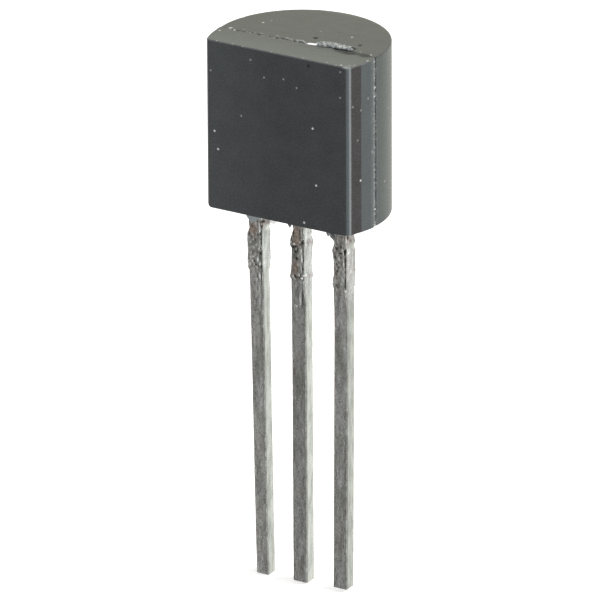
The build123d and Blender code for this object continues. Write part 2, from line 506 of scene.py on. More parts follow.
def body_prism():
    """The body's outline, drawn once and drawn up to its height, with its edges rounded."""

    def at_lip(p):
        return abs(p.x - half_width) < 1e-4 and abs(p.y - parting) < 1e-4

    def in_groove(p):
        return parting - 1e-4 < p.y < groove_back + 1e-4 and p.x > groove_floor - 1e-3

    bm = bmesh.new()
    verts = [bm.verts.new((x, y, 0)) for x, y in ((flat_half_width, front), shoulder, (half_width, parting))]
    edges = [bm.edges.new(pair) for pair in zip(verts, verts[1:])]
    bmesh.ops.mirror(bm, geom=verts + edges, matrix=Matrix.Identity(4), merge_dist=1e-5, axis="X")
    left_lip = min((v for v in bm.verts if abs(v.co.y - parting) < 1e-4), key=lambda v: v.co.x)
    groove = [(groove_floor, parting), (groove_floor, groove_back), (groove_edge, groove_back)]
    chain = [verts[-1]] + [bm.verts.new((x, y, 0)) for x, y in groove]
    for pair in zip(chain, chain[1:]):
        bm.edges.new(pair)
    start = atan2(groove_back - round_y, groove_edge)
    stop = pi - atan2(parting - round_y, round_reach)
    turned = bmesh.ops.spin(
        bm,
        geom=[chain[-1]],
        cent=(0, round_y, 0),
        axis=(0, 0, 1),
        angle=stop - start,
        steps=round_steps,
        use_merge=False,
    )
    bm.edges.new((turned["geom_last"][0], left_lip))
    bmesh.ops.remove_doubles(bm, verts=bm.verts, dist=1e-3)
    bm.edges.new([v for v in bm.verts if abs(v.co.y - front) < 1e-4])
    bmesh.ops.edgeloop_fill(bm, edges=bm.edges[:])
    raised = bmesh.ops.extrude_face_region(bm, geom=bm.faces[:])
    lifted = [v for v in raised["geom"] if isinstance(v, bmesh.types.BMVert)]
    bmesh.ops.translate(bm, vec=(0, 0, body_height), verts=lifted)
    bmesh.ops.recalc_face_normals(bm, faces=bm.faces)
    upright = [e for e in bm.edges if abs(e.verts[0].co.z - e.verts[1].co.z) > 1]
    rounding = {"affect": "EDGES", "offset_type": "OFFSET", "profile": 0.5, "material": -1}
    corners = [e for e in upright if abs(e.verts[0].co.y - front) < 1e-4]
    bmesh.ops.bevel(bm, geom=corners, offset=corner_reach, segments=10, **rounding)
    lip = [e for e in bm.edges if all(at_lip(v.co) for v in e.verts)]
    bmesh.ops.bevel(bm, geom=lip, offset=bead, segments=5, **rounding)
    rims = []
    for e in bm.edges:
        a, b = (v.co for v in e.verts)
        if min(a.z, b.z) > body_height - 1e-4 and not (in_groove(a) and in_groove(b)):
            rims.append(e)
    bmesh.ops.bevel(bm, geom=rims, offset=edge_wear, segments=3, **rounding)
    return bm


def sink_ejector_mark(bm):
    """The round recess that the mould's ejector pin left in the middle of the back."""
    middle = body_height / 2
    reach = ejector_radius + 0.09

    def at_back(p):
        return p.y > 2.0 and 0.2 < p.z < body_height - 0.2

    cut(bm, (1, 0, 0), [-reach, reach], inside=at_back)
    cut(bm, (0, 0, 1), [middle - reach, middle + reach], inside=at_back)
    patch = []
    for f in bm.faces:
        p = f.calc_center_median()
        if at_back(p) and abs(p.x) < reach and abs(p.z - middle) < reach:
            patch.append(f)
    inner = set(patch)
    border = [e for f in patch for e in f.edges if sum(g in inner for g in e.link_faces) == 1]
    bmesh.ops.delete(bm, geom=patch, context="FACES")
    border = [e for e in border if e.is_valid]
    place = Matrix.Translation((0, back, middle)) @ Matrix.Rotation(pi / 2, 4, "X")
    ring = bmesh.ops.create_circle(bm, segments=64, radius=ejector_radius, matrix=place)["verts"]
    for v in ring:
        v.co.y = round_y + sqrt(round_radius**2 - v.co.x**2)
    rim = list({e for v in ring for e in v.link_edges})
    bmesh.ops.bridge_loops(bm, edges=border + rim)
    wall = bmesh.ops.extrude_edge_only(bm, edges=rim)
    floor = [v for v in wall["geom"] if isinstance(v, bmesh.types.BMVert)]
    for v in floor:
        v.co.y = ejector_floor
    drawn = [e for e in wall["geom"] if isinstance(e, bmesh.types.BMEdge)]
    bmesh.ops.edgeloop_fill(bm, edges=[e for e in drawn if all(v in floor for v in e.verts)])


def closest_on_line(spot, a, b):
    """The place between a and b that lies nearest to a spot."""
    share = clamp((spot - a).dot(b - a) / (b - a).length_squared)
    return a.lerp(b, share)


def add_flash(bm, outline, near, far, tone, pale, grain):
    """A bit of thin flash under the body: an outline in X and Z, drawn through in Y and roughened."""
    face = bm.faces.new([bm.verts.new((x, near, z)) for x, z in outline])
    drawn = bmesh.ops.extrude_face_region(bm, geom=[face])
    moved = [v for v in drawn["geom"] if isinstance(v, bmesh.types.BMVert)]
    bmesh.ops.translate(bm, vec=(0, far - near, 0), verts=moved)
    shell = set(moved) | set(face.verts)
    edges = list({e for v in shell for e in v.link_edges})
    bmesh.ops.subdivide_edges(bm, edges=edges, cuts=3, use_grid_fill=True)
    rim = [Vector((x, z)) for x, z in outline]
    for v in bm.verts:
        if v.co.z < -0.005 and min(near, far) - 0.01 < v.co.y < max(near, far) + 0.01:
            if min(x for x, _ in outline) - 0.02 < v.co.x < max(x for x, _ in outline) + 0.02:
                v.co += 0.012 * Vector([ripple(*v.co, 0.05, seed) for seed in (1.0, 2.0, 3.0)])
                spot = Vector((v.co.x, v.co.z))
                to_rim = min((spot - closest_on_line(spot, a, b)).length for a, b in zip(rim, rim[1:]))
                v[tone] = pale + grain * ripple(*v.co, 0.045, 4.0) + 0.6 * pale * bump(to_rim, 0.02)


def shape_body(bm, tone, ragged):
    """Moves the divided mesh's points: true back, rounded left foot, ragged seam, top and scar."""
    inner_top = body_height - 1e-4
    for v in bm.verts:
        x, y, z = v.co
        # The back between the steps of its outline
        from_axis = hypot(x, y - round_y)
        if y > groove_back + 1e-3 and abs(from_axis - round_radius) < 0.005 and z < body_height - edge_wear:
            v.co.x = x * round_radius / from_axis
            v.co.y = round_y + (y - round_y) * round_radius / from_axis
        # Rounded bottom of the flat half's left side
        if y < parting + 1e-4 and z < corner_radius and x < 0:
            drop = corner_radius - sqrt(corner_radius**2 - (corner_radius - z) ** 2)
            v.co.x = max(x, drop - side_of_flat_half(y))
        # Worn bottom of the right front corner
        if y < parting + 1e-4 and z < corner_radius:
            at_corner = bump(min(x, 2.12) - 2.12, 0.27) * bump(y + 0.95, 0.45)
            v.co.z += worn_foot * (1 - z / corner_radius) * at_corner
        # Nick in the rim, behind the seam on the left
        nick = bump(hypot(x + 2.10, y - 0.72), 0.04) * bump(z - body_height, 0.06)
        v.co += nick * Vector((0.02, -0.01, -0.015))
        # The front face is a little paler to the left
        if y < front + 1e-3:
            v[tone] = 0.035 * clamp(-x / 2.1)
        # Painted highlight down the right front corner, where its rounding turns to the light
        if x > corner_start and y < front + corner_radius:
            turned = atan2(y - front - corner_radius, x - corner_start)
            v[tone] += 0.16 * bump(turned + radians(38), radians(13))
        # Ragged flash in the groove of the seam, and on the bead beside it
        if abs(y - parting) < 0.15 and x > groove_floor - 0.02 and z < body_height - 0.03:
            crumb = max(strength * bump(z - at, 0.03) for at, strength in seam_bits)
            loose = max(0.0, ripple(0, 0, z, 0.07, 6.0))
            if parting - 1e-3 < y < groove_back + 1e-3 and x < groove_floor + 0.01:
                v.co.x += groove_depth * clamp(max(0.25 + 0.7 * loose, crumb, 1.4 - z / 0.12))
                v[tone] = 0.24 + 0.22 * crumb
                v[ragged] = 0.4
            else:
                v.co.x += 0.004 * ripple(x, y, z, 0.06, 4.0)
                v[tone] = 0.05
                v[ragged] = 0.12
        # Top face and its rim: the rim is worn paler, most of all at the right front corner, and has a
        # painted highlight along the front half
        if z > body_height - 0.07:
            worn = 0.0
            for at_x, at_y, size, strength in rim_wear:
                worn += strength * bump(hypot(x - at_x, y - at_y), size)
            v[tone] += 0.36 * worn * bump(body_height - z, 0.035)
        if z > body_height - edge_wear - 1e-4 and y < parting:
            v[tone] += 0.13 * (z < inner_top)
            v[ragged] = 0.06 * (z < inner_top)
        if z > inner_top:
            rise, shade, crumbly = top_relief(x, y)
            from_rim = clamp((half_width + 0.01 - abs(x)) / 0.06)
            v.co.z += min(rise * from_rim, scar_top - body_height - 0.002)
            v[tone] += shade * from_rim
            v[ragged] = crumbly * from_rim
        v.co.x = clamp(v.co.x, -half_width, half_width)


def make_body():
    """The moulded body, divided finely where its top, its seam and its scar need it."""
    bm = body_prism()

    def on_top(p):
        return p.z > body_height - 0.03

    def in_strip(p):
        return p.z > body_height - 0.03 and -0.34 < p.y < 0.50

    def at_stub(p):
        return in_strip(p) and 0.22 < p.x < 1.70 and -0.28 < p.y < 0.18

    def at_seam(p):
        return p.x > 2.19 and -0.30 < p.y < 0.05

    cut(bm, (1, 0, 0), steps(-2.2, 2.2, 0.11) + [-corner_start + 0.015, corner_start - 0.015])
    cut(bm, (0, 1, 0), steps(-1.0, 0.5, 0.12) + [front + 0.04, shoulder[1] - 0.03, shoulder[1] + 0.03, -0.26])
    cut(bm, (0, 1, 0), steps(0.6, 2.1, 0.15))
    cut(bm, (0, 0, 1), steps(0.2, body_height - 0.08, 0.14))
    cut(bm, (0, 0, 1), [0.004, 0.015, 0.035, 0.06, 0.09, 0.13, body_height - 0.06, body_height - 0.035])
    cut(bm, (1, 0, 0), steps(-2.25, 2.25, 0.034), inside=on_top)
    cut(bm, (0, 1, 0), steps(-0.30, 0.46, 0.026), inside=in_strip)
    cut(bm, (1, 0, 0), steps(0.22, 1.70, 0.017), inside=at_stub)
    cut(bm, (0, 1, 0), steps(-0.28, 0.18, 0.013), inside=at_stub)
    cut(bm, (0, 0, 1), steps(0.1, body_height - 0.05, 0.026), inside=at_seam)
    tone = bm.verts.layers.float.new("tone")
    ragged = bm.verts.layers.float.new("ragged")
    shape_body(bm, tone, ragged)
    sink_ejector_mark(bm)
    bmesh.ops.dissolve_degenerate(bm, dist=1e-4, edges=bm.edges)
    for outline, near, far, pale, grain in flash_bits:
        add_flash(bm, outline, near, far, tone, pale, grain)
    bmesh.ops.recalc_face_normals(bm, faces=bm.faces)

    def on_shoulder(p):
        return abs(abs(p.x) - shoulder[0]) < 1e-3 and abs(p.y - shoulder[1]) < 1e-3

    def at_shoulder(e):
        return all(on_shoulder(v.co) for v in e.verts)

    return finish_piece(bm, "body", "moulded_body", compound, crease=at_shoulder)


# Bits of flash under the body, each an outline in X and Z: a web in front of the left lead, a droplet
# to its right, a spike beside the middle lead, and crumbs by the right one
web = ((-1.58, 0), (-1.52, -0.42), (-1.43, -0.53), (-1.35, -0.62), (-1.28, -0.57), (-1.15, -0.46), (-1.02, 0))
droplet = (
    ((-0.95, 0), (-0.945, -0.50), (-0.91, -0.57), (-0.86, -0.61))
    + ((-0.80, -0.59), (-0.765, -0.54), (-0.76, 0))
)
spike = ((-0.36, 0), (-0.315, -0.42), (-0.255, -0.535), (-0.225, -0.50), (-0.20, -0.44), (-0.20, 0))
crumbs = (
    ((0.80, 0), (0.835, -0.43), (0.875, -0.51), (0.915, -0.515), (0.945, -0.47), (0.955, -0.535))
    + ((1.05, -0.60), (1.09, -0.66), (1.12, 0))
)
# Each with its front, its back, how pale it is and how grained
flash_bits = (
    (web, -0.215, -0.185, 0.33, 0.10),
    (droplet, 0.0, 0.03, 1.5, 0.3),
    (spike, -0.18, -0.14, 0.08, 0.2),
    (crumbs, -0.19, -0.14, 0.25, 0.8),
)

make_body()


# Leads

# What the joining bar left on each lead, as (x from the middle, y, z, width, length, rise, bare, tone):
# horns and lumps, droplets of tin, pits and creases, and patches where the copper shows
FRONT = -lead_half_depth
SIDE = lead_half_width
# A positive tone is partly a painted highlight on lumps, ridges and droplets; a negative one is painted shade
# in pits and creases
lead_marks = {
    "left_lead": (
        (-0.064, FRONT, -0.757, 0.13, 0.17, 0.0, 1.3, -0.12),
        (0.099, FRONT, -0.598, 0.024, 0.028, 0.004, 0.0, 0.5),
        (0.097, FRONT, -0.701, 0.022, 0.030, 0.004, 0.0, 0.45),
        (0.113, FRONT, -0.789, 0.022, 0.026, 0.004, 0.0, 0.45),
        (0.04, FRONT, -0.60, 0.02, 0.05, -0.006, 0.0, -0.6),
        (0.160, FRONT, -0.80, 0.020, 0.070, -0.010, 0.0, -1.0),
        (0.140, FRONT, -0.875, 0.030, 0.030, -0.010, 0.0, -0.8),
        (0.155, FRONT, -1.08, 0.018, 0.10, -0.010, 0.0, -0.9),
        (0.054, FRONT, -0.907, 0.030, 0.025, -0.010, 0.0, -0.7),
        (-0.142, FRONT, -1.016, 0.030, 0.030, -0.010, 0.0, -0.8),
        (-0.035, FRONT, -1.046, 0.030, 0.035, -0.010, 0.0, -0.7),
        (-0.09, FRONT, -1.12, 0.035, 0.025, -0.008, 0.0, -0.6),
        (-0.185, FRONT, -0.93, 0.020, 0.09, 0.0, 0.0, -0.6),
        (-0.004, FRONT, -1.187, 0.060, 0.022, 0.006, 0.0, 0.35),
        (-0.075, FRONT, -1.26, 0.022, 0.05, 0.006, 0.0, 0.30),
        (0.07, FRONT, -1.25, 0.022, 0.05, 0.006, 0.0, 0.30),
        (-0.049, FRONT, -1.445, 0.025, 0.05, 0.006, 0.0, 0.40),
        (0.017, FRONT, -1.562, 0.028, 0.06, 0.006, 0.0, 0.40),
        (0.088, FRONT, -1.681, 0.025, 0.05, 0.006, 0.0, 0.40),
        (-0.087, FRONT, -1.515, 0.025, 0.025, 0.010, 0.0, 0.9),
        (-0.096, FRONT, -1.398, 0.025, 0.04, -0.008, 0.0, -0.6),
        (0.130, FRONT, -1.39, 0.035, 0.035, -0.010, 0.0, -0.8),
        (0.105, FRONT, -1.50, 0.030, 0.07, -0.006, 0.0, -0.5),
        (-0.064, FRONT, -1.641, 0.030, 0.030, -0.010, 0.0, -1.0),
        (-0.019, FRONT, -1.717, 0.035, 0.022, -0.010, 0.0, -0.9),
        (0.055, FRONT, -1.755, 0.030, 0.030, -0.010, 0.0, -0.9),
        (0.156, FRONT, -1.748, 0.025, 0.028, -0.010, 0.0, -1.0),
        (-0.19, FRONT, -1.73, 0.025, 0.03, 0.005, 0.0, 0.6),
        (0.090, FRONT, -2.02, 0.015, 0.09, 0.004, 0.0, 0.65),
        (0.145, FRONT, -2.02, 0.018, 0.13, -0.004, 0.0, -0.7),
        (0.029, FRONT, -1.997, 0.020, 0.05, -0.005, 0.0, -0.5),
        (0.023, FRONT, -2.324, 0.020, 0.05, -0.005, 0.0, -0.4),
        (0.090, FRONT, -2.55, 0.016, 0.22, 0.0, 0.0, 0.5),
        (0.142, FRONT, -2.60, 0.018, 0.30, 0.0, 0.0, -0.5),
        (0.194, FRONT, -2.263, 0.020, 0.03, 0.0, 0.9, 0.0),
        (SIDE, 0.03, -0.57, 0.16, 0.12, 0.0, 0.45, -0.45),
        (SIDE, 0.156, -0.72, 0.05, 0.03, 0.004, 0.0, 0.6),
        (SIDE, 0.05, -0.755, 0.06, 0.03, 0.004, 0.0, 0.5),
        (SIDE, -0.120, -0.534, 0.045, 0.042, -0.010, 0.6, -1.6),
        (SIDE, -0.112, -0.60, 0.030, 0.025, 0.0, 1.2, 0.6),
        (SIDE, -0.160, -0.66, 0.022, 0.05, -0.010, 0.0, -1.0),
        (SIDE, -0.12, -1.64, 0.03, 0.04, 0.005, 0.0, 0.8),
        (SIDE, -0.10, -2.00, 0.04, 0.05, 0.0, 0.5, -0.1),
        (SIDE, -0.04, -2.82, 0.04, 0.05, 0.0, 0.5, -0.1),
    ),
    "middle_lead": (
        (-0.040, FRONT, -0.655, 0.105, 0.25, 0.0, 1.4, 0.0),
        (-0.034, FRONT, -0.850, 0.095, 0.10, 0.0, 1.2, 0.0),
        (-0.145, FRONT, -0.60, 0.018, 0.17, -0.005, 0.0, -0.9),
        (0.085, FRONT, -0.61, 0.017, 0.08, 0.003, 0.0, 0.5),
        (0.035, FRONT, -0.60, 0.015, 0.08, -0.006, 0.0, -0.7),
        (0.144, FRONT, -0.63, 0.018, 0.17, -0.005, 0.0, -0.7),
        (0.110, FRONT, -0.856, 0.035, 0.030, -0.012, 0.0, -1.0),
        (0.059, FRONT, -0.914, 0.030, 0.025, -0.010, 0.0, -0.9),
        (-0.235, FRONT, -0.890, 0.028, 0.028, 0.006, 0.0, 1.6),
        (-0.205, FRONT, -0.965, 0.022, 0.030, 0.004, 0.0, 0.6),
        (-0.130, FRONT, -0.935, 0.028, 0.028, 0.012, 0.0, 1.2),
        (-0.178, FRONT, -0.91, 0.020, 0.05, -0.010, 0.0, -1.0),
        (-0.205, FRONT, -0.80, 0.022, 0.05, 0.0, 0.0, -0.9),
        (-0.155, FRONT, -1.02, 0.035, 0.025, 0.0, 0.0, -1.0),
        (-0.075, FRONT, -1.16, 0.10, 0.20, 0.0, 0.0, -0.35),
        (-0.068, FRONT, -0.99, 0.060, 0.025, 0.0, 0.0, -0.5),
        (-0.02, FRONT, -1.07, 0.030, 0.045, -0.008, 0.0, -0.6),
        (-0.10, FRONT, -1.14, 0.030, 0.03, -0.008, 0.0, -0.5),
        (-0.045, FRONT, -1.32, 0.035, 0.05, -0.008, 0.0, -0.7),
        (0.065, FRONT, -1.08, 0.026, 0.09, 0.002, 0.0, 0.5),
        (0.095, FRONT, -1.22, 0.026, 0.10, 0.002, 0.0, 0.5),
        (0.150, FRONT, -1.18, 0.016, 0.18, -0.004, 0.0, -0.6),
        (0.150, FRONT, -1.342, 0.025, 0.030, -0.012, 0.0, -1.0),
        (-0.073, FRONT, -1.590, 0.090, 0.21, 0.0, 1.4, -0.06),
        (0.050, FRONT, -1.50, 0.032, 0.11, 0.005, 0.0, 0.35),
        (0.125, FRONT, -1.58, 0.030, 0.06, -0.010, 0.0, -0.9),
        (-0.105, FRONT, -1.79, 0.035, 0.025, -0.008, 0.0, -0.9),
        (-0.070, FRONT, -1.83, 0.030, 0.025, -0.008, 0.0, -1.0),
        (0.069, FRONT, -1.752, 0.030, 0.035, -0.010, 0.0, -1.0),
        (0.030, FRONT, -1.82, 0.030, 0.025, -0.008, 0.0, -0.8),
        (0.145, FRONT, -1.745, 0.045, 0.026, 0.015, 0.0, 1.3),
        (SIDE, -0.10, -1.750, 0.035, 0.028, 0.012, 0.0, 1.3),
        (0.100, FRONT, -1.822, 0.030, 0.028, 0.012, 0.0, 1.2),
        (-0.215, FRONT, -1.72, 0.030, 0.05, 0.003, 0.0, 0.6),
        (-0.165, FRONT, -1.80, 0.022, 0.05, 0.006, 0.0, 0.7),
        (0.045, FRONT, -2.37, 0.022, 0.20, 0.004, 0.0, 0.9),
        (0.115, FRONT, -2.36, 0.022, 0.22, -0.004, 0.0, -0.6),
        (-0.02, FRONT, -2.20, 0.07, 0.14, 0.0, 0.0, -0.30),
        (-0.110, FRONT, -2.585, 0.035, 0.022, 0.003, 0.0, 0.8),
        (-0.060, FRONT, -2.615, 0.035, 0.022, 0.003, 0.0, 0.8),
        (SIDE, -0.10, -0.70, 0.026, 0.08, 0.008, 0.0, 1.1),
        (0.200, FRONT, -0.811, 0.022, 0.024, 0.010, 0.0, 1.3),
        (SIDE, -0.105, -0.92, 0.022, 0.04, 0.006, 0.0, 1.0),
        (SIDE, 0.031, -0.828, 0.020, 0.03, -0.006, 0.0, -0.5),
        (SIDE, 0.115, -0.64, 0.022, 0.06, 0.0, 0.8, -0.3),
    ),
    "right_lead": (
        (-0.217, FRONT, -0.50, 0.03, 0.03, 0.0, 1.0, -0.6),
        (0.0, FRONT, -0.62, 0.22, 0.25, 0.0, 0.35, -0.20),
        (-0.05, FRONT, -0.95, 0.15, 0.20, 0.0, 0.25, -0.15),
        (0.048, FRONT, -0.551, 0.030, 0.035, 0.002, 0.0, 0.45),
        (0.063, FRONT, -0.686, 0.026, 0.035, 0.002, 0.0, 0.50),
        (-0.143, FRONT, -0.743, 0.030, 0.028, 0.002, 0.0, 0.40),
        (0.001, FRONT, -0.749, 0.030, 0.030, -0.006, 0.0, -0.8),
        (-0.131, FRONT, -0.811, 0.040, 0.040, -0.006, 0.3, -0.8),
        (-0.007, FRONT, -0.922, 0.050, 0.026, -0.008, 0.0, -1.0),
        (0.107, FRONT, -0.860, 0.030, 0.040, -0.008, 0.0, -1.0),
        (0.111, FRONT, -0.920, 0.024, 0.030, -0.008, 0.0, -0.9),
        (0.064, FRONT, -0.918, 0.018, 0.030, 0.003, 0.0, 0.8),
        (-0.110, FRONT, -0.961, 0.026, 0.040, 0.002, 0.0, 0.40),
        (-0.077, FRONT, -1.084, 0.024, 0.030, 0.002, 0.0, 0.55),
        (-0.174, FRONT, -1.060, 0.026, 0.050, -0.006, 0.0, -0.9),
        (-0.015, FRONT, -1.060, 0.035, 0.040, -0.004, 0.0, -0.4),
        (-0.083, FRONT, -1.172, 0.035, 0.022, -0.006, 0.0, -0.7),
        (-0.130, FRONT, -1.224, 0.030, 0.024, -0.006, 0.0, -0.8),
        (-0.082, FRONT, -1.318, 0.035, 0.026, -0.006, 0.0, -0.8),
        (-0.108, FRONT, -1.410, 0.030, 0.030, -0.006, 0.0, -0.7),
        (-0.005, FRONT, -1.364, 0.025, 0.030, 0.003, 0.0, 0.55),
        (0.07, FRONT, -1.10, 0.035, 0.15, 0.0, 0.0, 0.30),
        (0.09, FRONT, -1.45, 0.030, 0.15, 0.0, 0.0, 0.25),
        (0.04, FRONT, -1.58, 0.025, 0.04, 0.003, 0.0, 0.5),
        (0.03, FRONT, -1.68, 0.02, 0.02, 0.003, 0.0, 0.5),
        (-0.14, FRONT, -1.50, 0.06, 0.16, 0.0, 0.7, -0.15),
        (-0.134, FRONT, -1.809, 0.03, 0.03, -0.006, 0.0, -0.9),
        (-0.09, FRONT, -1.86, 0.03, 0.03, -0.006, 0.0, -0.8),
        (0.10, FRONT, -1.92, 0.05, 0.02, 0.004, 0.0, 0.6),
        (0.144, FRONT, -1.16, 0.016, 0.20, -0.003, 0.3, -0.5),
        (0.144, FRONT, -1.60, 0.016, 0.25, -0.003, 0.3, -0.4),
        (SIDE, -0.10, -0.604, 0.022, 0.040, 0.002, 0.0, 0.85),
        (SIDE, -0.115, -0.850, 0.024, 0.065, 0.004, 0.0, 1.2),
        (SIDE, -0.09, -0.905, 0.035, 0.020, 0.004, 0.0, 1.2),
        (SIDE, -0.055, -0.860, 0.020, 0.045, 0.002, 0.0, 0.7),
        (SIDE, -0.085, -0.850, 0.014, 0.030, -0.002, 0.0, -0.7),
        (SIDE, -0.06, -1.212, 0.030, 0.020, 0.003, 0.0, 1.0),
        (SIDE, -0.007, -1.431, 0.025, 0.025, 0.003, 0.0, 0.9),
        (SIDE, -0.12, -0.476, 0.024, 0.050, -0.006, 0.0, -1.3),
        (SIDE, -0.05, -0.49, 0.14, 0.10, 0.0, 0.45, -0.30),
        (SIDE, -0.012, -0.591, 0.024, 0.024, 0.0, 0.8, -0.7),
        (SIDE, 0.130, -0.680, 0.030, 0.10, 0.0, 0.0, -0.4),
    ),
}
# What the shear took off or left at each lead's left and right edge, as (height, how far outward)
left_edges = {
    "left_lead": (
        [(-9.8, -0.045), (-9.0, -0.033), (-7.0, -0.025), (-5.0, -0.016), (-3.0, 0.0), (-2.4, 0.0)]
        + [(-2.0, 0.013), (-1.85, 0.015), (-1.75, -0.012), (-1.67, 0.025), (-1.2, 0.027), (-0.95, 0.010)]
        + [(-0.85, -0.016), (-0.65, 0.01)]
    ),
    "middle_lead": (
        [(-2.3, 0.0), (-1.85, 0.014), (-1.75, -0.022), (-1.55, -0.025), (-1.25, -0.029), (-1.05, -0.045)]
        + [(-0.98, 0.0), (-0.85, 0.0), (-0.76, 0.018), (-0.65, -0.020), (-0.55, -0.050), (-0.45, -0.035)]
    ),
    "right_lead": (
        [(-3.0, -0.010), (-2.4, 0.0), (-2.05, 0.015), (-1.85, 0.012), (-1.75, -0.011), (-1.65, 0.0)]
        + [(-1.55, -0.026), (-1.35, -0.012), (-1.05, -0.010), (-0.85, 0.008), (-0.75, 0.024), (-0.65, 0.0)]
    ),
}
right_edges = {
    "left_lead": (
        [(-9.8, -0.006), (-9.0, -0.018), (-6.0, -0.020), (-3.0, -0.010), (-2.4, -0.012), (-2.15, -0.029)]
        + [(-2.0, -0.031), (-1.85, -0.020), (-1.75, -0.060), (-1.65, -0.018), (-1.45, -0.006)]
        + [(-1.05, -0.024), (-0.85, -0.025), (-0.65, 0.040)]
    ),
    "middle_lead": (
        [(-2.3, 0.006), (-1.85, 0.008), (-1.75, -0.027), (-1.65, -0.040), (-1.55, -0.040), (-1.25, -0.024)]
        + [(-1.05, -0.024), (-0.95, -0.010), (-0.85, -0.017), (-0.75, -0.008), (-0.65, 0.010)]
        + [(-0.55, -0.018), (-0.45, 0.0)]
    ),
    "right_lead": (
        [(-2.4, 0.0), (-2.1, 0.0), (-1.95, 0.005), (-1.85, -0.012), (-1.79, -0.045), (-1.65, -0.030)]
        + [(-1.45, -0.002), (-1.25, -0.014), (-1.05, -0.026), (-0.85, -0.036), (-0.75, -0.018)]
        + [(-0.65, 0.018), (-0.45, -0.015)]
    ),
}
# How far the bar's stub reaches past the shank, as (height, reach)
bar_stub = [(-1.89, 0.0), (-1.79, 0.045), (-1.335, 0.015), (-0.88, 0.045), (-0.78, 0.0)]
# How far out the sheared front right corner still reaches, and how much painted shade darkens the front and
# right side
front_reach = {"left_lead": 0.187, "middle_lead": 0.169, "right_lead": 0.160}
front_shade = {"left_lead": -0.20, "middle_lead": -0.38, "right_lead": -0.28}
side_shade = {"left_lead": -0.19, "middle_lead": -0.11, "right_lead": -0.28}
# How far the painted shade on the front right corner reaches in and back, and between which heights the marks
# lie
corner_width, corner_depth = 0.032, 0.031
marks_low, marks_high = -3.0, -0.01


def shape_lead(bm, name):
    """Gives a lead its uneven tin coat, and the lumps, pits and bare copper near the body."""
    bare = bm.verts.layers.float.new("bare")
    tone = bm.verts.layers.float.new("tone")
    seed = 11.0 + 7.0 * lead_places[name]
    slope = lead_leans[name] / lead_lengths[name]
    for v in bm.verts:
        x, y, z = v.co
        if z > marks_high:
            continue
        off = x - lead_places[name] + slope * z
        outward = Vector((off / lead_half_width, y / lead_half_depth, 0))
        outward = Vector((outward.x**5, outward.y**5, 0)).normalized()
        near_body = clamp((2.2 + z) / 0.5)
        facing = clamp((-y - 0.12) / 0.05)
        # The front right corner is darkened with painted shade, so that it does not glint, and is sheared
        # back near the body
        reach = lead_half_width + along(bar_stub, z)
        corner = (off > reach - corner_width) * (y < corner_depth - lead_half_depth)
        aside = clamp((off - 0.18) / 0.02) * (1 - corner)
        at_edge = clamp((abs(off) - 0.04) / 0.14)
        pull = clamp(0.5 - y / (2 * lead_half_depth)) * clamp((2.4 + z) / 0.3)
        if off < 0:
            shift = -at_edge * along(left_edges[name], z)
        else:
            sheared = pull * (reach - front_reach[name])
            shift = at_edge * ((1 - pull) * along(right_edges[name], z) - sheared)
        v.co.x += shift
        off += shift
        swell = 0.004 * ripple(x, y, z, 0.10, seed) + 0.004 * ripple(x, y, z * 0.5, 0.3, seed)
        swell += near_body * facing * 0.003 * ripple(x, y, z, 0.09, seed + 2)
        # Painted shade on the front face, set for each lead, with random stains near the body
        stain = near_body * (0.30 * ripple(x, y, z, 0.07, seed + 3) + 0.06)
        shade = facing * (front_shade[name] + stain)
        # How much painted shade darkens the front right corner
        dull = 0.80 - 0.27 * near_body + (0.15 + 0.25 * near_body) * ripple(0, 0, z, 0.13, seed + 4)
        shade = shade * (1 - corner) - corner * dull
        # Painted shade on the right side, deeper towards its front and less near the body
        shade += aside * (side_shade[name] + 0.5 * y) * (1 - 0.6 * near_body)
        copper = near_body * facing * max(0.0, 0.2 * ripple(x, 0, z, 0.3, seed + 6))
        for at_x, at_y, at_z, width, length, rise, patch, change in lead_marks[name]:
            if abs(z - at_z) < 3 * length:
                across = 0.0 if at_x == SIDE and off > 0.13 else (off - at_x) / width
                near = bump(hypot(across, (y - at_y) / width, (z - at_z) / length), 1.0)
                swell += rise * near
                copper += patch * near
                shade += change * near
        v.co += outward * swell * min(1.0, -z / 0.05)
        v[bare] = clamp(copper)
        v[tone] = clamp(shade, -1.0, 1.3)


def make_lead(name):
    """One lead: the solid's own mesh, merged, divided and given its marks."""
    bm = bmesh.new()
    bm.from_mesh(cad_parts[name].data)
    bmesh.ops.scale(bm, vec=(1 / MM, 1 / MM, 1 / MM), verts=bm.verts)
    bmesh.ops.remove_doubles(bm, verts=bm.verts, dist=1e-4)
    bmesh.ops.dissolve_limit(bm, angle_limit=radians(0.5), verts=bm.verts, edges=bm.edges)
    sideways = (1, 0, lead_leans[name] / lead_lengths[name])
    middle = (lead_places[name], 0, 0)

    def at_bar(p):
        return marks_low - 0.1 < p.z < marks_high

    def below_bar(p):
        return p.z < marks_low

    cut(bm, (0, 0, 1), steps(-lead_lengths[name] + 0.02, -0.02, 0.07))
    cut(bm, (0, 0, 1), steps(marks_low, -2.18, 0.035) + steps(-2.15, -0.3, 0.022), inside=at_bar)
    across = steps(-0.156, 0.156, 0.024) + [-0.172, 0.172]
    cut(bm, sideways, across + [-0.22, -0.195, 0.195, 0.22], base=middle, inside=at_bar)
    cut(bm, (0, 1, 0), steps(-0.135, 0.135, 0.03) + [-0.147, -0.165], inside=at_bar)
    cut(bm, sideways, steps(-0.15, 0.15, 0.06) + [-0.172, 0.172], base=middle, inside=below_bar)
    cut(bm, (0, 1, 0), steps(-0.12, 0.12, 0.06) + [-0.147], inside=below_bar)
    shape_lead(bm, name)
    return finish_piece(bm, name + "_tinned", name, tinned)


for lead in lead_places:
    make_lead(lead)


# Camera, at the photograph's angle: the axes and the distance were fitted to the object's edges

